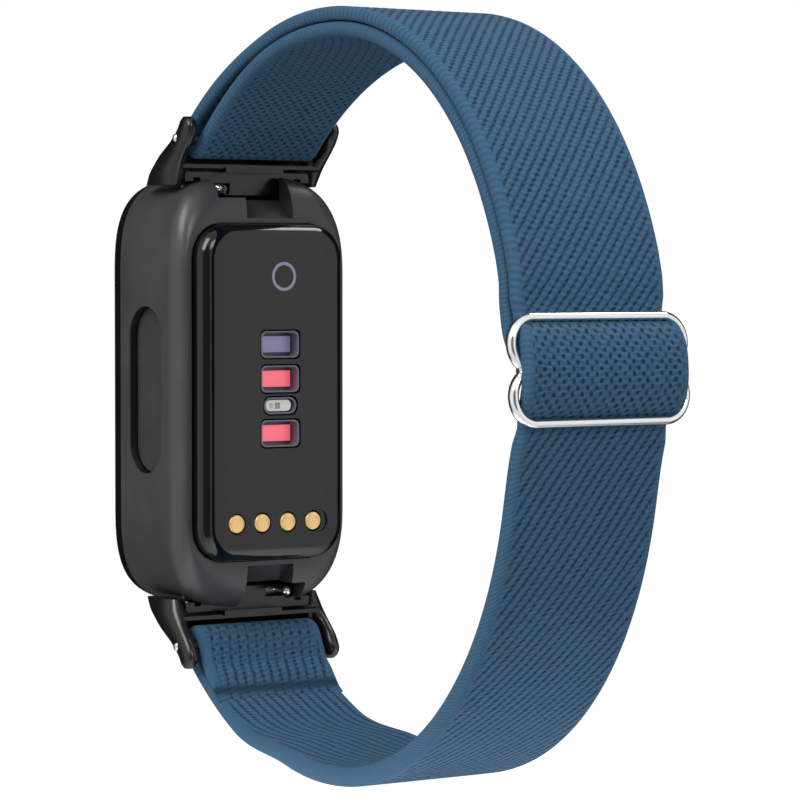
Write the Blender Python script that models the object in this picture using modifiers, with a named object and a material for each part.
"""A slim wrist tracker on an elastic strap with a metal slider.

The loop's centre is the origin. +Z runs along the pod, +X points from the pod to the slider, and Y is the
axis that the strap is wound about. The pod's skin side, with its sensor cover, faces +X. Units are metres.
"""

import math

import bmesh
import bpy
from mathutils import Matrix, Vector

MM = 0.001
GAP = 0.3 * MM
FINE_GAP = 0.14 * MM

# Pod, from the skin side to the display side
COVER_FACE_X = -18.95 * MM
SKIN_X = -20.7 * MM
RIM_X = -30.5 * MM
LENS_X = -32.2 * MM
POD_WIDTH = 18.4 * MM
POD_HEIGHT = 39.0 * MM
POD_CAP = 9.5 * MM
POD_POWER = 3.2
LENS_EDGE = 0.7 * MM
# Rounding from the skin face: how deep it reaches, how far the outline would draw in, and how much of the
# quarter turn is used. The sides stop short of it, which leaves a crease along the skin face.
SIDE_ROUND = (1.8 * MM, 1.5 * MM, 0.85)
END_ROUND = (2.4 * MM, 3.85 * MM, 1.0)
WALL_SIDE = 1.7 * MM
WALL_SKIN = 1.7 * MM
CAVITY_HALF_Z = 15.3 * MM

# Sensor cover and what shows in it
COVER_WIDTH = 15.4 * MM
COVER_HEIGHT = 30.2 * MM
COVER_SEAT = 0.8 * MM
WINDOW_Y = 0.5 * MM
WINDOW_SIZE = (4.1 * MM, 2.4 * MM)
WINDOW_Z = {"upper": 4.3 * MM, "middle": 1.2 * MM, "lower": -3.7 * MM}
LED_Z = -1.2 * MM
LED_SIZE = (3.5 * MM, 1.5 * MM)
CHIP_SIZE = (3.5 * MM, 1.45 * MM)
LED_PACKAGE_SIZE = (2.7 * MM, 1.0 * MM)
TRAY_DEPTH = 1.3 * MM
LED_TRAY_DEPTH = 0.6 * MM
TRAY_RIM = 0.13 * MM
LED_TRAY_CORNER = 0.7 * MM
CONTACT_Z = -11.7 * MM
CONTACT_PITCH = 2.75 * MM
CONTACT_RADIUS = 0.82 * MM

# Side keys
KEY_X = -26.3 * MM
KEY_Z = 0.2 * MM
KEY_SIZE = (5.1 * MM, 14.8 * MM)
KEY_RECESS = 0.8 * MM
KEY_THICK = 0.35 * MM
KEY_POCKET = 1.42 * MM

# Strap: its half width along the loop and at the pins, and its layers
STRAP_HALF_WIDTH = 7.65 * MM
STRAP_PIN_HALF_WIDTH = 6.5 * MM
STRAP_THICK = 1.2 * MM
STRAP_LOWER_THICK = 1.7 * MM
LAYER_GAP = 0.1 * MM

# The loop that the strap's inner surface follows, a little squarer than an ellipse on the slider's side
LOOP_TOP = 30.6 * MM
LOOP_BOTTOM = 31.2 * MM
LOOP_FRONT = 24.75 * MM
LOOP_BACK = 31.0 * MM
LOOP_SWELL = 0.013

# Connectors: spring bar in the pod's end slot, strap pin between the arms
BAR_X = -24.6 * MM
BAR_Z = 18.3 * MM
PIN_X = -22.8 * MM
PIN_Z = 22.7 * MM
PIN_RADIUS = 0.45 * MM
PIN_HALF_LENGTH = 8.4 * MM
TONGUE_HALF_Y = 5.1 * MM
BAR_BORE = 0.8 * MM
TIP_REACH = 6.3 * MM
TIP_RADIUS = 0.36 * MM
KNOB_Y = 3.7 * MM
KNOB_REACH = 1.75 * MM
NOTCH_Y = (-1.9 * MM, 3.1 * MM)
NOTCH_START_Z = 15.65 * MM
NOTCH_END_Z = 17.3 * MM

# Slider
SLIDER_ANGLE = math.radians(5.45)
SLIDER_HALF_Y = 8.75 * MM
SLIDER_HALF_Z = 4.2 * MM
SLIDER_WIRE = 0.38 * MM
SLIDER_DEPTH = 1.35
# Each side of the slider is two round lobes that meet in a notch at the middle bar.
SLIDER_LOBE = 2.1 * MM
SLIDER_NOTCH_TURN = math.radians(-56)
SLIDER_NOTCH_Y = 7.75 * MM
SLIDER_TRAVEL = 6.2 * MM
BAR_RISE = 2.3 * MM
WRAP_CROWN = 4.08 * MM
MIDDLE_BAR_RADIUS = 0.4 * MM
MIDDLE_BAR_DROP = 0.3 * MM
END_LOOP_RADIUS = 0.74 * MM
END_LOOP_THICK = 0.45 * MM
END_LOOP_HALF_WIDTH = 7.2 * MM


def fresh_collection(name):
    collection = bpy.data.collections.new(name)
    bpy.context.scene.collection.children.link(collection)
    return collection


for old in list(bpy.data.objects):
    bpy.data.objects.remove(old, do_unlink=True)
PARTS = fresh_collection("fitness_tracker_band")
CUTTERS = fresh_collection("cutters")


def material(name, colour, roughness, metallic=0.0):
    made = bpy.data.materials.new(name)
    made.use_nodes = True
    shader = made.node_tree.nodes["Principled BSDF"]
    shader.inputs["Base Color"].default_value = (*colour, 1.0)
    shader.inputs["Roughness"].default_value = roughness
    shader.inputs["Metallic"].default_value = metallic
    return made


SHELL_BLACK = material("shell_black", (0.045, 0.045, 0.047), 0.5)
GLOSS_BLACK = material("gloss_black", (0.015, 0.015, 0.016), 0.12)
ADAPTER_BLACK = material("adapter_black", (0.03, 0.03, 0.03), 0.3)
KEY_BLACK = material("key_black", (0.06, 0.06, 0.062), 0.45)
SEAL_RUBBER = material("seal_rubber", (0.02, 0.02, 0.02), 0.8)
LENS_GLASS = material("lens_glass", (0.01, 0.01, 0.012), 0.05)
PANEL_DARK = material("panel_dark", (0.02, 0.02, 0.03), 0.2)
BOARD_GREEN = material("board_green", (0.02, 0.12, 0.05), 0.5)
FLEX_AMBER = material("flex_amber", (0.45, 0.22, 0.04), 0.4)
CELL_SILVER = material("cell_silver", (0.6, 0.6, 0.62), 0.35, 0.8)
STEEL = material("steel", (0.75, 0.75, 0.76), 0.2, 1.0)
CHROME = material("chrome", (0.85, 0.85, 0.86), 0.08, 1.0)
GOLD = material("gold", (0.86, 0.58, 0.22), 0.25, 1.0)
BARRIER_GREY = material("barrier_grey", (0.13, 0.125, 0.17), 0.35)
CHIP_VIOLET = material("chip_violet", (0.22, 0.2, 0.36), 0.3)
CHIP_RED = material("chip_red", (0.9, 0.17, 0.25), 0.3)
EMITTER_CREAM = material("emitter_cream", (0.7, 0.66, 0.6), 0.35)
STRAP_BLUE = material("strap_blue", (0.055, 0.125, 0.2), 0.85)


def add_object(name, mesh, finish, collection=PARTS):
    made = bpy.data.objects.new(name, mesh)
    collection.objects.link(made)
    if finish:
        mesh.materials.clear()
        mesh.materials.append(finish)
    if collection is CUTTERS:
        made.hide_render = True
        made.display_type = "WIRE"
    return made


def from_bmesh(name, bm, finish, collection=PARTS):
    bmesh.ops.recalc_face_normals(bm, faces=bm.faces)
    mesh = bpy.data.meshes.new(name)
    bm.to_mesh(mesh)
    bm.free()
    mesh.shade_smooth()
    mesh.set_sharp_from_angle(angle=math.radians(35))
    return add_object(name, mesh, finish, collection)


def edges_along_x(bm):
    return [edge for edge in bm.edges if abs(edge.verts[0].co.x - edge.verts[1].co.x) > 1e-6]


def rim_edges(bm, x):
    """The edges round the flat face at this x."""
    face = next(f for f in bm.faces if all(abs(v.co.x - x) < 1e-7 for v in f.verts))
    return list(face.edges)


def bevel(bm, edges, width, segments):
    bmesh.ops.bevel(
        bm, geom=edges, offset=width, offset_type="OFFSET", segments=segments, profile=0.5, affect="EDGES"
    )


def slab(name, low, high, finish, corner=0.0, front=0.0, back=0.0, turns=(5, 3), collection=PARTS):
    """A box from low to high. corner rounds the edges along X, front and back round its +X and -X rims."""
    size = Vector(high) - Vector(low)
    middle = (Vector(high) + Vector(low)) / 2
    bm = bmesh.new()
    bmesh.ops.create_cube(bm, size=1.0, matrix=Matrix.Translation(middle) @ Matrix.Diagonal((*size, 1.0)))
    if corner:
        bevel(bm, edges_along_x(bm), corner, turns[0])
    if front:
        bevel(bm, rim_edges(bm, high[0]), front, turns[1])
    if back:
        bevel(bm, rim_edges(bm, low[0]), back, turns[1])
    return from_bmesh(name, bm, finish, collection)


def centred_slab(name, x, half_y, half_z, finish, y=0.0, z=0.0, **rounding):
    """A slab between the two values of x, centred on y and z."""
    low = (min(x), y - half_y, z - half_z)
    high = (max(x), y + half_y, z + half_z)
    return slab(name, low, high, finish, **rounding)


def cylinder(name, start, end, radius, finish, sides=16, collection=PARTS):
    start = Vector(start)
    along = Vector(end) - start
    turn = along.to_track_quat("Z", "Y").to_matrix().to_4x4()
    bm = bmesh.new()
    bmesh.ops.create_cone(
        bm,
        cap_ends=True,
        segments=sides,
        radius1=radius,
        radius2=radius,
        depth=along.length,
        matrix=Matrix.Translation(start + along / 2) @ turn,
    )
    return from_bmesh(name, bm, finish, collection)


def loft(name, rings, finish, collection=PARTS):
    """A closed skin through rings that have the same number of points, with a flat cap at each end."""
    bm = bmesh.new()
    rows = [[bm.verts.new(point) for point in ring_points] for ring_points in rings]
    for low, high in zip(rows, rows[1:]):
        for index in range(len(low)):
            after = (index + 1) % len(low)
            bm.faces.new((low[index], low[after], high[after], high[index]))
    for end in (rows[0], rows[-1]):
        bm.faces.new(end)
    return from_bmesh(name, bm, finish, collection)


def boolean(target, other, operation="DIFFERENCE"):
    modifier = target.modifiers.new(f"{operation.lower()}_{other.name}", "BOOLEAN")
    modifier.operation = operation
    modifier.object = other


def curve_to_mesh_object(curve_object, name, finish, collection=PARTS):
    """Turns a curve object into a mesh object with welded caps, in the curve's place."""
    bpy.context.view_layer.update()
    graph = bpy.context.evaluated_depsgraph_get()
    mesh = bpy.data.meshes.new_from_object(curve_object.evaluated_get(graph))
    mesh.transform(curve_object.matrix_world)
    bpy.data.objects.remove(curve_object, do_unlink=True)
    bm = bmesh.new()
    bm.from_mesh(mesh)
    bpy.data.meshes.remove(mesh)
    bmesh.ops.remove_doubles(bm, verts=bm.verts, dist=1e-7)
    return from_bmesh(name, bm, finish, collection)


def plate(name, outline, low_y, high_y, finish, round_edges=0.0, collection=PARTS):
    """A flat outline of (x, z) points, extruded from low_y to high_y."""
    data = bpy.data.curves.new(name + "_outline", "CURVE")
    data.dimensions = "2D"
    data.fill_mode = "BOTH"
    data.extrude = (high_y - low_y) / 2
    spline = data.splines.new("POLY")
    spline.points.add(len(outline) - 1)
    for point, (x, z) in zip(spline.points, outline):
        point.co = (x, z, 0.0, 1.0)
    spline.use_cyclic_u = True
    holder = bpy.data.objects.new(name + "_outline", data)
    PARTS.objects.link(holder)
    holder.rotation_euler = (math.pi / 2, 0.0, 0.0)
    holder.location = (0.0, (low_y + high_y) / 2, 0.0)
    made = curve_to_mesh_object(holder, name, finish, collection)
    if round_edges:
        rounding = made.modifiers.new("round_edges", "BEVEL")
        rounding.width = round_edges
        rounding.segments = 2
        rounding.limit_method = "ANGLE"
    return made


def wire(name, points, radius, finish, cyclic=False, sides=2, collection=PARTS):
    data = bpy.data.curves.new(name + "_path", "CURVE")
    data.dimensions = "3D"
    data.bevel_depth = radius
    data.bevel_resolution = sides
    data.use_fill_caps = not cyclic
    spline = data.splines.new("POLY")
    spline.points.add(len(points) - 1)
    for point, place in zip(spline.points, points):
        point.co = (*place, 1.0)
    spline.use_cyclic_u = cyclic
    holder = bpy.data.objects.new(name + "_path", data)
    PARTS.objects.link(holder)
    return curve_to_mesh_object(holder, name, finish, collection)


def ribbon(name, path, half_widths, thicknesses, finish, y=0.0):
    """A band of cloth or foil whose middle surface follows the (x, z) path. Its half width and its thickness
    are given at each point of the path or, as one number, for all of it."""
    if isinstance(half_widths, float):
        half_widths = [half_widths] * len(path)
    if isinstance(thicknesses, float):
        thicknesses = [thicknesses] * len(path)
    points = [Vector(point) for point in path]
    rings = []
    for index, (point, half, thick) in enumerate(zip(points, half_widths, thicknesses)):
        along = (points[min(index + 1, len(points) - 1)] - points[max(index - 1, 0)]).normalized()
        reach = Vector((along.y, -along.x)) * thick / 2
        outer = point + reach
        inner = point - reach
        low = y - half
        high = y + half
        corners = ((outer, low), (outer, high), (inner, high), (inner, low))
        rings.append([(place.x, side, place.y) for place, side in corners])
    return loft(name, rings, finish)


# Pod ---------------------------------------------------------------------------------------------


def pod_ring(x, side_inset, end_inset):
    """The pod's outline at this x: straight sides, and ends that are halves of a superellipse."""
    half_y = POD_WIDTH / 2 - side_inset
    half_z = POD_HEIGHT / 2 - end_inset
    cap = POD_CAP - end_inset
    count = 84
    points = []
    for step in range(count):
        angle = math.tau * (step + 0.5) / count
        y = math.copysign(half_y * abs(math.cos(angle)) ** (2 / POD_POWER), math.cos(angle))
        z = math.copysign(half_z - cap + cap * abs(math.sin(angle)) ** (2 / POD_POWER), math.sin(angle))
        points.append((x, y, z))
    return points


def rounding(depth, reach, width, used=1.0):
    """How far a quarter ellipse, reach deep and width wide, stands in from the side at this depth."""
    share = used * max(0.0, 1 - depth / reach)
    return width * (1 - math.sqrt(1 - share * share))


def pod_shell():
    """The moulded tub: open on the display side, with a seat for the cover, end slots and key pockets."""
    half_y = POD_WIDTH / 2
    half_z = POD_HEIGHT / 2
    rings = [pod_ring(RIM_X, 0.0, 0.0)]
    steps = 13
    for step in range(steps + 1):
        depth = END_ROUND[0] * (1 - math.sin(math.pi / 2 * step / steps))
        rings.append(pod_ring(SKIN_X - depth, rounding(depth, *SIDE_ROUND), rounding(depth, *END_ROUND)))
    shell = loft("pod_shell", rings, SHELL_BLACK)
    cavity = centred_slab(
        "cavity_cut",
        (RIM_X - 2 * MM, SKIN_X - WALL_SKIN),
        half_y - WALL_SIDE,
        CAVITY_HALF_Z,
        None,
        corner=2.5 * MM,
        collection=CUTTERS,
    )
    ledge = centred_slab(
        "ledge_cut",
        (RIM_X - 2 * MM, RIM_X + 0.9 * MM),
        half_y - 0.8 * MM,
        half_z - 1.0 * MM,
        None,
        corner=5.4 * MM,
        collection=CUTTERS,
    )
    seat = centred_slab(
        "cover_seat_cut",
        (SKIN_X - COVER_SEAT, SKIN_X + MM),
        COVER_WIDTH / 2 + FINE_GAP,
        COVER_HEIGHT / 2 + FINE_GAP,
        None,
        corner=3.2 * MM,
        collection=CUTTERS,
    )
    module = slab(
        "module_cut",
        (SKIN_X - 3 * MM, -6.0 * MM, -13.8 * MM),
        (SKIN_X, 6.0 * MM, 7.8 * MM),
        None,
        collection=CUTTERS,
    )
    for cutter in (cavity, ledge, seat, module):
        boolean(shell, cutter)
    for end, side in ((1, "top"), (-1, "bottom")):
        for cutter in end_cutters(end, side):
            boolean(shell, cutter)
    for side in (-1, 1):
        for cutter in key_cutters(side):
            boolean(shell, cutter)
    return shell


def end_cutters(end, side):
    """The slot that takes a connector's tongue, its bar holes, and the finger notch in front of it."""
    reach = 2.0 * MM
    outside = POD_HEIGHT / 2 + reach
    slot_face = BAR_X + 1.6 * MM
    slot_z = sorted((end * 16.7 * MM, end * outside))
    slot = slab(
        f"slot_cut_{side}",
        (BAR_X - 1.6 * MM, -TONGUE_HALF_Y - 0.4 * MM, slot_z[0]),
        (slot_face, TONGUE_HALF_Y + 0.4 * MM, slot_z[1]),
        None,
        collection=CUTTERS,
    )
    hole = cylinder(
        f"bar_hole_{side}",
        (BAR_X, -6.7 * MM, end * BAR_Z),
        (BAR_X, 6.7 * MM, end * BAR_Z),
        0.5 * MM,
        None,
        sides=12,
        collection=CUTTERS,
    )
    ramp = [
        (SKIN_X + reach, NOTCH_START_Z),
        (SKIN_X - 0.3 * MM, NOTCH_START_Z),
        (slot_face, NOTCH_END_Z),
        (BAR_X, NOTCH_END_Z),
        (BAR_X, outside),
        (SKIN_X + reach, outside),
    ]
    notch = plate(
        f"notch_cut_{side}",
        [(x, end * z) for x, z in ramp],
        *NOTCH_Y,
        None,
        collection=CUTTERS,
    )
    # The release tip's knob has an opening of its own, at -Y on top and at +Y below, with room to slide.
    knob_y = sorted((-end * (KNOB_Y + 1.0 * MM), -end * (KNOB_Y - 1.8 * MM)))
    knob_z = sorted((end * (BAR_Z - 0.85 * MM), end * outside))
    knob = slab(
        f"knob_cut_{side}",
        (BAR_X, knob_y[0], knob_z[0]),
        (SKIN_X + reach, knob_y[1], knob_z[1]),
        None,
        collection=CUTTERS,
    )
    return slot, hole, notch, knob


def key_cutters(side):
    """The pocket that a side key lies at the bottom of, and the hole for its plunger."""
    face = POD_WIDTH / 2
    name = "near" if side < 0 else "far"
    y = sorted((side * (face - KEY_POCKET), side * (face + MM)))
    pocket = pill(f"key_pocket_{name}", y, FINE_GAP, None, CUTTERS)
    plunger = cylinder(
        f"plunger_hole_{name}",
        (KEY_X, side * (face - 3 * MM), KEY_Z),
        (KEY_X, side * face, KEY_Z),
        0.75 * MM,
        None,
        collection=CUTTERS,
    )
    return pocket, plunger


def pill(name, y, grow, finish, collection=PARTS):
    """The key's pill-shaped outline in X and Z, extruded between two values of y."""
    radius = KEY_SIZE[0] / 2 + grow
    straight = (KEY_SIZE[1] - KEY_SIZE[0]) / 2
    outline = []
    count = 36
    for step in range(count):
        angle = math.tau * (step + 0.5) / count
        shift = straight if math.sin(angle) > 0 else -straight
        outline.append((KEY_X + radius * math.cos(angle), KEY_Z + shift + radius * math.sin(angle)))
    return plate(name, outline, y[0], y[1], finish, collection=collection)


def side_key(side):
    face = POD_WIDTH / 2
    name = "near" if side < 0 else "far"
    y = sorted((side * (face - KEY_RECESS - KEY_THICK), side * (face - KEY_RECESS)))
    key = pill(f"side_key_{name}", y, 0.0, KEY_BLACK)
    stem = cylinder(
        f"key_stem_{name}",
        (KEY_X, side * (face - 2.0 * MM), KEY_Z),
        (KEY_X, side * (face - KEY_RECESS - KEY_THICK / 2), KEY_Z),
        0.5 * MM,
        None,
        collection=CUTTERS,
    )
    boolean(key, stem, "UNION")
    inner = sorted((side * (face - 2.4 * MM), side * (face - 3.3 * MM)))
    slab(
        f"key_switch_{name}",
        (KEY_X - 1.0 * MM, inner[0], KEY_Z - 1.5 * MM),
        (KEY_X + 1.0 * MM, inner[1], KEY_Z + 1.5 * MM),
        CELL_SILVER,
    )


def display():
    rings = []
    for step in range(5):
        depth = LENS_EDGE * (1 - math.cos(math.pi / 2 * step / 4))
        inset = 0.1 * MM + rounding(depth, LENS_EDGE, LENS_EDGE)
        rings.append(pod_ring(LENS_X + depth, inset, inset))
    rings.append(pod_ring(RIM_X - FINE_GAP, 0.1 * MM, 0.1 * MM))
    loft("display_lens", rings, LENS_GLASS)
    ring(
        "lens_gasket",
        (RIM_X + 0.2 * MM, RIM_X + 0.75 * MM),
        (POD_WIDTH / 2 - 1.0 * MM, POD_HEIGHT / 2 - 1.3 * MM),
        0.75 * MM,
        5.0 * MM,
    )
    panel_x = (RIM_X + 0.1 * MM, RIM_X + 1.0 * MM)
    centred_slab("display_panel", panel_x, 7.1 * MM, 15.0 * MM, PANEL_DARK, corner=2 * MM)
    frame_x = (RIM_X + 1.3 * MM, RIM_X + 1.9 * MM)
    centred_slab("mid_frame", frame_x, 7.2 * MM, 15.0 * MM, SHELL_BLACK, corner=2 * MM)


def ring(name, x, half_size, band, corner):
    """A flat seal: a rounded slab with a hole that leaves a band of this width."""
    made = centred_slab(name, x, *half_size, SEAL_RUBBER, corner=corner)
    hole = centred_slab(
        f"{name}_cut",
        (x[0] - MM, x[1] + MM),
        half_size[0] - band,
        half_size[1] - band,
        None,
        corner=corner - band,
        collection=CUTTERS,
    )
    boolean(made, hole)


def electronics():
    board_x = (RIM_X + 2.2 * MM, RIM_X + 2.8 * MM)
    slab(
        "battery",
        (board_x[0], -5.2 * MM, -1.0 * MM),
        (board_x[0] + 2.9 * MM, 5.2 * MM, 14.8 * MM),
        CELL_SILVER,
        corner=0.8 * MM,
        front=0.6 * MM,
    )
    board = slab(
        "main_board",
        (board_x[0], -7.0 * MM, -14.8 * MM),
        (board_x[1], 7.0 * MM, -1.5 * MM),
        BOARD_GREEN,
        corner=2.2 * MM,
    )
    for index, (y, z, half) in enumerate(((-4.0, -12.0, 1.6), (0.6, -12.2, 1.1), (4.4, -5.5, 1.3))):
        chip = slab(
            f"chip_{index}",
            (board_x[1] - 0.2 * MM, (y - half) * MM, (z - half) * MM),
            (board_x[1] + 0.8 * MM, (y + half) * MM, (z + half) * MM),
            None,
            collection=CUTTERS,
        )
        boolean(board, chip, "UNION")
    cylinder(
        "vibration_motor",
        (board_x[1] + GAP, -2.6 * MM, -5.6 * MM),
        (board_x[1] + 2.4 * MM, -2.6 * MM, -5.6 * MM),
        3.0 * MM,
        CELL_SILVER,
        sides=24,
    )
    board_face = SKIN_X - COVER_SEAT
    slab(
        "sensor_board",
        (board_face - 0.9 * MM, -5.7 * MM, -13.5 * MM),
        (board_face - 0.4 * MM, 5.7 * MM, 7.5 * MM),
        BOARD_GREEN,
    )
    # The flex runs from the main board's face, past the motor, to the back of the sensor board.
    start = (board_x[1] + 0.2 * MM, -13.6 * MM)
    end = (board_face - 1.3 * MM, -10.6 * MM)
    path = [start]
    lift = start[0] + 0.5 * MM
    for step in range(9):
        turn = step / 8
        path.append((lift + (end[0] - lift) * turn, start[1] + (end[1] - start[1]) * ease(turn, 0.0, 1.0)))
    ribbon("sensor_flex", path, 1.6 * MM, 0.15 * MM, FLEX_AMBER, y=4.0 * MM)


def sensor_cover():
    """The raised glossy cover: hollow behind its windows, solid where the charging contacts pass."""
    base = SKIN_X - COVER_SEAT + 0.55 * MM
    cover = centred_slab(
        "sensor_cover",
        (base, COVER_FACE_X),
        COVER_WIDTH / 2,
        COVER_HEIGHT / 2,
        GLOSS_BLACK,
        corner=3.1 * MM,
        front=1.25 * MM,
        turns=(10, 7),
    )
    hollow = slab(
        "cover_hollow",
        (base - MM, -5.2 * MM, -6.4 * MM),
        (COVER_FACE_X - 0.7 * MM, 5.2 * MM, 7.0 * MM),
        None,
        collection=CUTTERS,
    )
    boolean(cover, hollow)
    for name, size, z in windows():
        depth = (COVER_FACE_X - MM, COVER_FACE_X + MM)
        hole = window_slab(f"{name}_window", size, z, depth, FINE_GAP, None, CUTTERS)
        boolean(cover, hole)
    groove = centred_slab(
        "contact_groove",
        (COVER_FACE_X - 0.15 * MM, COVER_FACE_X + MM),
        5.6 * MM,
        1.05 * MM,
        None,
        z=CONTACT_Z,
        corner=1.0 * MM,
        collection=CUTTERS,
    )
    boolean(cover, groove)
    for index in range(4):
        y = (index - 1.5) * CONTACT_PITCH
        hole = cylinder(
            f"contact_hole_{index + 1}",
            (base - MM, y, CONTACT_Z),
            (COVER_FACE_X + MM, y, CONTACT_Z),
            CONTACT_RADIUS + FINE_GAP,
            None,
            sides=20,
            collection=CUTTERS,
        )
        boolean(cover, hole)
    seal_x = (SKIN_X - COVER_SEAT + 0.12 * MM, SKIN_X - COVER_SEAT + 0.42 * MM)
    ring("cover_seal", seal_x, (COVER_WIDTH / 2 - 0.3 * MM, COVER_HEIGHT / 2 - 0.3 * MM), 0.8 * MM, 2.9 * MM)


def windows():
    for name, z in WINDOW_Z.items():
        yield name, WINDOW_SIZE, z
    yield "led", LED_SIZE, LED_Z


def window_slab(name, size, z, x, grow, finish, collection=PARTS):
    half_y = size[0] / 2 + grow
    half_z = size[1] / 2 + grow
    corner = LED_TRAY_CORNER + min(grow, 0.0) if size is LED_SIZE else 0.5 * MM
    return centred_slab(
        name, x, half_y, half_z, finish, y=WINDOW_Y, z=z, corner=corner, turns=(3, 1), collection=collection
    )


def optics():
    """Each window is a grey tray, open to the skin, with its chip or emitter on the floor of the tray."""
    back = COVER_FACE_X - 2.2 * MM
    face = COVER_FACE_X - 0.05 * MM
    floor = face - TRAY_DEPTH
    led_floor = face - LED_TRAY_DEPTH
    for name, size, z in windows():
        tray_name = "led_tray" if name == "led" else f"window_tray_{name}"
        tray = window_slab(tray_name, size, z, (back, face), 0.0, BARRIER_GREY)
        bottom = led_floor if name == "led" else floor
        well = window_slab(f"{name}_well", size, z, (bottom, face + MM), -TRAY_RIM, None, CUTTERS)
        boolean(tray, well)
    for name, z in WINDOW_Z.items():
        finish = CHIP_VIOLET if name == "upper" else CHIP_RED
        centred_slab(
            f"photodiode_{name}",
            (floor + 0.1 * MM, floor + 0.3 * MM),
            CHIP_SIZE[0] / 2,
            CHIP_SIZE[1] / 2,
            finish,
            y=WINDOW_Y,
            z=z,
        )
    centred_slab(
        "led_package",
        (led_floor + 0.1 * MM, led_floor + 0.3 * MM),
        LED_PACKAGE_SIZE[0] / 2,
        LED_PACKAGE_SIZE[1] / 2,
        EMITTER_CREAM,
        y=WINDOW_Y,
        z=LED_Z,
        corner=0.45 * MM,
    )


def contacts():
    for index in range(4):
        y = (index - 1.5) * CONTACT_PITCH
        pin = cylinder(
            f"charging_contact_{index + 1}",
            (SKIN_X - COVER_SEAT - 0.1 * MM, y, CONTACT_Z),
            (COVER_FACE_X - 0.06 * MM, y, CONTACT_Z),
            CONTACT_RADIUS,
            GOLD,
            sides=20,
        )
        rounding = pin.modifiers.new("round_edges", "BEVEL")
        rounding.width = 0.12 * MM
        rounding.segments = 2
        rounding.limit_method = "ANGLE"


# Connectors --------------------------------------------------------------------------------------


def connector(side):
    """One strap adapter with its quick-release bar, made for the top. The bottom one is the same part,
    turned half a turn about X, so its release knob is on the other side."""
    made_before = set(bpy.data.objects)
    connector_frame(side)
    spring_bar_tube(side)
    tip_ends = [(BAR_X, y, BAR_Z) for y in (3.1 * MM, TIP_REACH)]
    cylinder(f"spring_bar_tip_{side}", *tip_ends, TIP_RADIUS, STEEL, sides=12)
    release_tip(side)
    spring_bar_spring(side)
    pin_ends = [(PIN_X, y, PIN_Z) for y in (-PIN_HALF_LENGTH, PIN_HALF_LENGTH)]
    cylinder(f"strap_pin_{side}", *pin_ends, PIN_RADIUS, STEEL)
    holder = bpy.data.objects.new(f"connector_{side}_turn", None)
    PARTS.objects.link(holder)
    for piece in set(bpy.data.objects) - made_before - {holder}:
        piece.parent = holder
    if side == "bottom":
        holder.rotation_euler = (math.pi, 0.0, 0.0)


def connector_frame(side):
    tongue_outline = [(BAR_X + 1.1 * MM, 20.2 * MM), (BAR_X - 1.1 * MM, 20.2 * MM), (BAR_X - 1.1 * MM, BAR_Z)]
    for step in range(1, 6):
        angle = math.pi * (1 + step / 6)
        tongue_outline.append((BAR_X + 1.1 * MM * math.cos(angle), BAR_Z + 1.1 * MM * math.sin(angle)))
    tongue_outline.append((BAR_X + 1.1 * MM, BAR_Z))
    frame = plate(f"connector_{side}_frame", tongue_outline, -TONGUE_HALF_Y, TONGUE_HALF_Y, ADAPTER_BLACK)
    # The crossbar is a plate under the strap's fold with a wall behind it, and a boss in front of the tongue.
    # It's given as (x, z) in millimetres.
    bar_outline = [
        (-26.0, 19.8),
        (-23.2, 19.8),
        (-22.7, 20.1),
        (-22.7, 20.45),
        (-24.6, 20.45),
        (-24.8, 21.6),
        (-25.5, 21.6),
    ]
    cross = plate(
        f"cross_{side}",
        [(x * MM, z * MM) for x, z in bar_outline],
        -7.4 * MM,
        7.4 * MM,
        None,
        collection=CUTTERS,
    )
    boss = slab(
        f"boss_{side}",
        (BAR_X + 0.5 * MM, -3.0 * MM, 19.75 * MM),
        (-22.45 * MM, 3.2 * MM, 20.2 * MM),
        None,
        collection=CUTTERS,
    )
    arms = [connector_arm(side, hand) for hand in (-1, 1)]
    for piece in (cross, boss, *gussets(side), *arms):
        boolean(frame, piece, "UNION")
    bore = cylinder(
        f"bar_bore_{side}",
        (BAR_X, -7 * MM, BAR_Z),
        (BAR_X, 7 * MM, BAR_Z),
        BAR_BORE,
        None,
        collection=CUTTERS,
    )
    pin_bore = cylinder(
        f"pin_bore_{side}",
        (PIN_X, -10 * MM, PIN_Z),
        (PIN_X, 10 * MM, PIN_Z),
        PIN_RADIUS + 0.05 * MM,
        None,
        collection=CUTTERS,
    )
    knob_slot = slab(
        f"knob_slot_{side}",
        (BAR_X, -4.7 * MM, BAR_Z - 0.5 * MM),
        (BAR_X + 2 * MM, -1.9 * MM, BAR_Z + 0.5 * MM),
        None,
        collection=CUTTERS,
    )
    for cutter in (bore, pin_bore, knob_slot):
        boolean(frame, cutter)
    return frame


def gussets(side):
    """Webs between the tongue and the arms, which step down with the pod's rounded end."""
    webs = []
    for hand in (-1, 1):
        for step, (inner, outer, foot) in enumerate(((5.0, 6.0, 19.3), (5.8, 6.7, 18.95))):
            y = sorted((hand * inner * MM, hand * outer * MM))
            webs.append(
                slab(
                    f"gusset_{side}_{hand + 1}_{step}",
                    (-25.7 * MM, y[0], foot * MM),
                    (-23.5 * MM, y[1], 20.0 * MM),
                    None,
                    collection=CUTTERS,
                )
            )
    return webs


def cubic(values, t):
    """Catmull-Rom between the second and third of four values."""
    a, b, c, d = values
    return b + (c - a) / 2 * t + (a - 2.5 * b + 2 * c - d / 2) * t**2 + (1.5 * (b - c) + (d - a) / 2) * t**3


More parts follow.
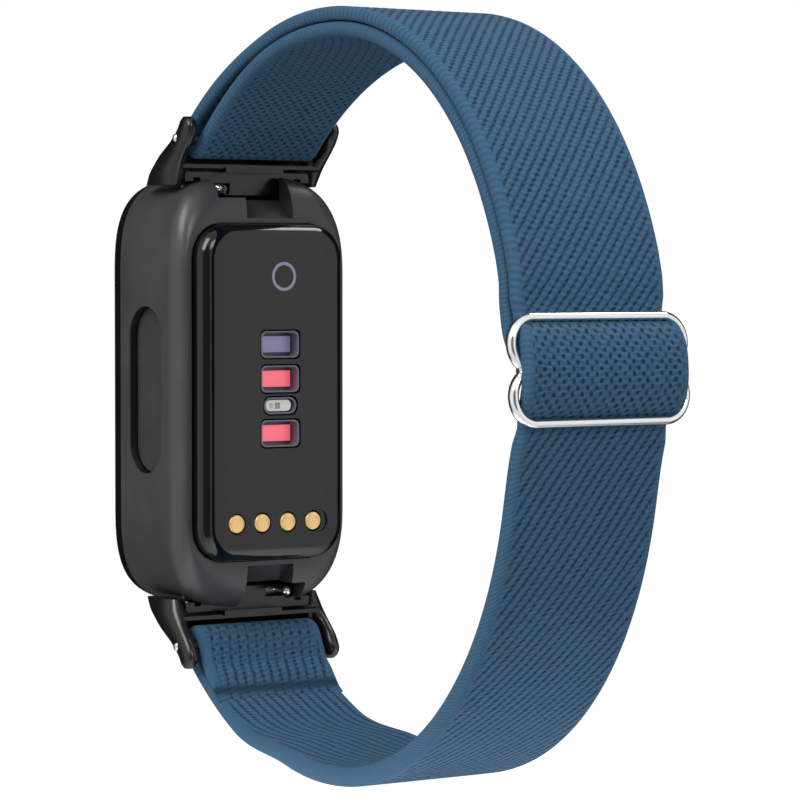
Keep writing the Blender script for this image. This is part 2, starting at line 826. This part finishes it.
def through(sections, per_span):
    """Sections on a smooth curve through the given ones, per_span of them for each gap."""
    first = [2 * a - b for a, b in zip(sections[0], sections[1])]
    last = [2 * a - b for a, b in zip(sections[-1], sections[-2])]
    padded = [first, *sections, last]
    made = []
    for four in zip(padded, padded[1:], padded[2:], padded[3:]):
        for step in range(per_span):
            made.append([cubic(values, step / per_span) for values in zip(*four)])
    made.append(list(sections[-1]))
    return made


def connector_arm(side, hand):
    """A rounded blade that leans from the pod's shoulder to the strap pin and narrows to its tip."""
    # Each section: height, centre in X and Y, and half sizes in X and Y
    sections = [
        (18.6, -26.1, 7.3, 2.45, 0.85),
        (19.6, -25.5, 7.3, 2.35, 1.05),
        (20.4, -24.8, 7.45, 2.15, 0.9),
        (21.3, -23.85, 7.68, 1.9, 0.67),
        (22.4, -22.5, 7.68, 1.5, 0.67),
        (23.5, -21.6, 7.68, 1.15, 0.65),
        (24.2, -21.5, 7.68, 0.85, 0.55),
        (24.6, -21.6, 7.68, 0.4, 0.3),
    ]
    count = 28
    rings = []
    for height, x, y, half_x, half_y in through(sections, 2):
        ring_points = []
        for step in range(count):
            angle = math.tau * step / count
            across = math.copysign(abs(math.cos(angle)) ** 0.8, math.cos(angle))
            along = math.copysign(abs(math.sin(angle)) ** 0.8, math.sin(angle))
            ring_points.append(((x + half_x * across) * MM, (hand * y + half_y * along) * MM, height * MM))
        rings.append(ring_points)
    return loft(f"arm_{side}_{'near' if hand < 0 else 'far'}", rings, None, CUTTERS)


def spring_bar_tube(side):
    tube = cylinder(
        f"spring_bar_tube_{side}", (BAR_X, -4.9 * MM, BAR_Z), (BAR_X, 4.9 * MM, BAR_Z), 0.68 * MM, STEEL
    )
    bore = cylinder(
        f"tube_bore_{side}",
        (BAR_X, -6 * MM, BAR_Z),
        (BAR_X, 6 * MM, BAR_Z),
        0.46 * MM,
        None,
        sides=12,
        collection=CUTTERS,
    )
    slot = slab(
        f"tube_slot_{side}",
        (BAR_X, -4.5 * MM, BAR_Z - 0.4 * MM),
        (BAR_X + 2 * MM, -2.0 * MM, BAR_Z + 0.4 * MM),
        None,
        collection=CUTTERS,
    )
    boolean(tube, bore)
    boolean(tube, slot)
    return tube


def release_tip(side):
    """The spring-loaded tip, with the knob that a fingernail slides towards the bar's middle."""
    tip_ends = [(BAR_X, y, BAR_Z) for y in (-TIP_REACH, -2.9 * MM)]
    tip = cylinder(f"release_tip_{side}", *tip_ends, TIP_RADIUS, STEEL, sides=12)
    knob = cylinder(
        f"knob_{side}",
        (BAR_X, -KNOB_Y, BAR_Z),
        (BAR_X + KNOB_REACH, -KNOB_Y, BAR_Z),
        0.3 * MM,
        None,
        sides=12,
        collection=CUTTERS,
    )
    head = bmesh.new()
    place = Matrix.Translation((BAR_X + KNOB_REACH, -KNOB_Y, BAR_Z))
    bmesh.ops.create_uvsphere(head, u_segments=12, v_segments=8, radius=0.5 * MM, matrix=place)
    ball = from_bmesh(f"knob_head_{side}", head, None, CUTTERS)
    boolean(tip, knob, "UNION")
    boolean(tip, ball, "UNION")
    return tip


def spring_bar_spring(side):
    turns = 6
    start = -2.6 * MM
    end = 2.8 * MM
    steps = turns * 8
    points = []
    for step in range(steps + 1):
        angle = math.tau * turns * step / steps
        y = start + (end - start) * step / steps
        points.append((BAR_X + 0.3 * MM * math.cos(angle), y, BAR_Z + 0.3 * MM * math.sin(angle)))
    return wire(f"spring_bar_spring_{side}", points, 0.07 * MM, STEEL, sides=1)


# Strap -------------------------------------------------------------------------------------------


def loop_foot(angle):
    """The point of the strap's inner surface at this angle round the loop."""
    across = math.cos(angle)
    up = math.sin(angle)
    reach = LOOP_FRONT if across > 0 else LOOP_BACK
    height = LOOP_TOP if up > 0 else LOOP_BOTTOM
    swell = 1 + LOOP_SWELL * math.sin(2 * angle) ** 2 if across > 0 else 1.0
    return Vector((reach * across * swell, height * up * swell))


def loop_point(angle, rise):
    """The (x, z) point at this angle round the loop, this far outside the strap's inner surface."""
    step = 1e-4
    along = (loop_foot(angle + step) - loop_foot(angle - step)).normalized()
    return loop_foot(angle) + rise * Vector((along.y, -along.x))


def pin_anchor(sign):
    """(angle, rise) of a strap pin: where it lies round the loop, and how far outside it."""
    pin = Vector((PIN_X, sign * PIN_Z))
    angle = math.atan2(pin.y, pin.x)
    for _ in range(20):
        offset = pin - loop_foot(angle)
        outward = loop_point(angle, 1.0) - loop_foot(angle)
        angle += offset.dot(Vector((-outward.y, outward.x))) / LOOP_BACK
    return angle, offset.dot(outward)


PIN_ANCHOR = {sign: pin_anchor(sign) for sign in (1, -1)}
PIN_LOOP_RADIUS = PIN_RADIUS + 0.12 * MM + STRAP_THICK / 2
SPLIT_START = math.radians(108)
PAIR_RISE = STRAP_THICK + LAYER_GAP / 2
SINGLE_RISE = STRAP_THICK / 2
THICK_START = (math.radians(15), math.radians(60))
THICK_END = math.radians(95)
FOLD_START = math.radians(103)
FOLD_END = math.radians(118)
FLAP_END = math.radians(120)
TAPER_START = math.radians(88)
PIN_MARGIN = math.radians(1.2)


def ease(value, start, end):
    part = min(1.0, max(0.0, (value - start) / (end - start)))
    return part * part * (3 - 2 * part)


def side_of(angle):
    return 1 if angle > 0 else -1


def layer_rise(angle, layer):
    """How far a layer's middle stands off the loop: layer is 1 for the outer one and -1 for the inner one.

    The pair parts near the strap pin and passes it on both sides."""
    pin_angle, pin_rise = PIN_ANCHOR[side_of(angle)]
    share = ease(abs(angle), SPLIT_START, abs(pin_angle))
    middle = PAIR_RISE + (pin_rise - PAIR_RISE) * share
    half = (STRAP_THICK + LAYER_GAP) / 2
    return middle + layer * (half + (PIN_LOOP_RADIUS - half) * share)


def lower_thick(angle):
    """The lower run is thickest at the bottom of the loop and one layer thick at its ends."""
    share = ease(abs(angle), *THICK_START) * (1 - ease(abs(angle), THICK_END, FOLD_END))
    return STRAP_THICK + (STRAP_LOWER_THICK - STRAP_THICK) * share


def lower_rise(angle):
    """The single lower run moves outwards where the fold at the bottom pin lies inside it."""
    share = ease(abs(angle), FOLD_START, FOLD_END)
    return SINGLE_RISE + (layer_rise(angle, 1) - SINGLE_RISE) * share


def half_width(angle):
    """The strap is gathered a little towards the pins."""
    share = ease(abs(angle), TAPER_START, abs(PIN_ANCHOR[side_of(angle)][0]))
    return STRAP_HALF_WIDTH + (STRAP_PIN_HALF_WIDTH - STRAP_HALF_WIDTH) * share


def one_layer(_):
    return STRAP_THICK


def band(name, start, end, rise, steps, thick=one_layer):
    """A stretch of strap between two loop angles. rise gives its middle's height at an angle."""
    angles = [start + (end - start) * step / steps for step in range(steps + 1)]
    path = [loop_point(angle, rise(angle)) for angle in angles]
    return ribbon(name, path, list(map(half_width, angles)), list(map(thick, angles)), STRAP_BLUE)


def pin_loop(side, sign):
    """The half turn of strap round a strap pin, open towards the loop."""
    angle, rise = PIN_ANCHOR[sign]
    centre = loop_point(angle, rise)
    outward = (centre - loop_foot(angle)).normalized()
    back = Vector((-outward.y, outward.x)) * sign
    path = []
    for step in range(13):
        turn = math.radians(-4 + 188 * step / 12)
        path.append(centre + PIN_LOOP_RADIUS * (outward * math.cos(turn) + back * math.sin(turn)))
    return ribbon(f"pin_loop_{side}", path, STRAP_PIN_HALF_WIDTH, STRAP_THICK, STRAP_BLUE)


def angle_of_height(z):
    """The angle on the slider's side where the loop is at this height, found by halving."""
    low, high = -math.pi / 3, math.pi / 3
    for _ in range(40):
        middle = (low + high) / 2
        low, high = (middle, high) if loop_foot(middle).y < z else (low, middle)
    return low


def strap():
    slider_z = loop_foot(SLIDER_ANGLE).y
    bar_edge = SLIDER_HALF_Z + SLIDER_WIRE + 0.35 * MM
    feed_top = angle_of_height(slider_z + bar_edge)
    feed_bottom = angle_of_height(slider_z - bar_edge)
    run_top = angle_of_height(slider_z + bar_edge + SLIDER_TRAVEL)
    run_bottom = angle_of_height(slider_z - bar_edge - SLIDER_TRAVEL)
    seam = math.radians(0.5)
    top_end = PIN_ANCHOR[1][0] - PIN_MARGIN
    bottom_end = PIN_ANCHOR[-1][0] + PIN_MARGIN
    for layer, name in ((1, "outer"), (-1, "inner")):
        band(f"strap_{name}_run", top_end, run_top + seam, lambda angle: layer_rise(angle, layer), 26)
        band(f"strap_{name}_feed", run_top, feed_top, lambda angle: layer_rise(angle, layer), 4)
    band("strap_lower_run", bottom_end, run_bottom - seam, lower_rise, 28, lower_thick)
    band("strap_lower_feed", run_bottom, feed_bottom, lower_rise, 4, lower_thick)
    band("strap_fold_flap", bottom_end, -FLAP_END, lambda angle: layer_rise(angle, -1), 6)
    pin_loop("top", 1)
    pin_loop("bottom", -1)


# Slider ------------------------------------------------------------------------------------------


def slider_place(z, rise):
    """World (x, z) of a point on the slider, from its height along the strap and its rise off it."""
    normal = loop_point(SLIDER_ANGLE, 1.0) - loop_foot(SLIDER_ANGLE)
    along = Vector((-normal.y, normal.x))
    return loop_foot(SLIDER_ANGLE) + normal * rise + along * z


def slider_outline():
    """(y, z) points round the slider: straight outer bars, and two lobes with a notch on each side."""
    lobe_y = SLIDER_HALF_Y - SLIDER_LOBE
    lobe_z = SLIDER_HALF_Z - SLIDER_LOBE
    steps = 9
    quarter = []
    for step in range(steps + 1):
        turn = math.pi / 2 + (SLIDER_NOTCH_TURN - math.pi / 2) * step / steps
        quarter.append((lobe_y + SLIDER_LOBE * math.cos(turn), lobe_z + SLIDER_LOBE * math.sin(turn)))
    straight = [(lobe_y * share, SLIDER_HALF_Z) for share in (0.0, 0.5)]
    right = straight + quarter + [(SLIDER_NOTCH_Y, 0.0)]
    lower = [(y, -z) for y, z in reversed(right[:-1])]
    half = right + lower
    return half + [(-y, z) for y, z in reversed(half[1:-1])]


def slider_frame():
    """A figure of eight in round wire, deeper than it is wide, with a middle bar joined across the waist."""
    outline = [(0.0, y, z) for y, z in slider_outline()]
    frame = wire("slider_frame", outline, SLIDER_WIRE, CHROME, cyclic=True, sides=3)
    frame.data.transform(Matrix.Diagonal((SLIDER_DEPTH, 1.0, 1.0, 1.0)))
    reach = SLIDER_NOTCH_Y + 0.1 * MM
    bar_ends = [(-MIDDLE_BAR_DROP, y, 0.0) for y in (-reach, reach)]
    middle = cylinder("middle_bar", *bar_ends, MIDDLE_BAR_RADIUS, None, 12, CUTTERS)
    foot = slider_place(0.0, BAR_RISE)
    normal = slider_place(0.0, 1.0) - slider_place(0.0, 0.0)
    for piece in (frame, middle):
        piece.location = (foot.x, 0.0, foot.y)
        piece.rotation_euler = (0.0, -math.atan2(normal.y, normal.x), 0.0)
    boolean(frame, middle, "UNION")


def slider_wrap():
    """The strap's hump over the middle bar, between the two outer bars."""
    half = SLIDER_HALF_Z - SLIDER_WIRE - 0.35 * MM - 0.1 * MM
    foot_rise = 0.9 * MM
    crown = WRAP_CROWN - STRAP_THICK / 2
    path = []
    for step in range(17):
        turn = math.pi * step / 16
        shape = math.sin(turn) ** 0.6 if 0 < step < 16 else 0.0
        along = -(half - STRAP_THICK / 2) * math.cos(turn)
        path.append(slider_place(along, foot_rise + (crown - foot_rise) * shape))
    ribbon("slider_wrap", path, STRAP_HALF_WIDTH, STRAP_THICK, STRAP_BLUE)
    centre_rise = BAR_RISE - MIDDLE_BAR_DROP - 0.15 * MM
    loop = []
    for step in range(13):
        turn = math.radians(90 + 240 * step / 12)
        rise = centre_rise + END_LOOP_RADIUS * math.cos(turn)
        loop.append(slider_place(END_LOOP_RADIUS * math.sin(turn), rise))
    ribbon("slider_end_loop", loop, END_LOOP_HALF_WIDTH, END_LOOP_THICK, STRAP_BLUE)


pod_shell()
display()
electronics()
sensor_cover()
optics()
contacts()
side_key(-1)
side_key(1)
connector("top")
connector("bottom")
strap()
slider_frame()
slider_wrap()
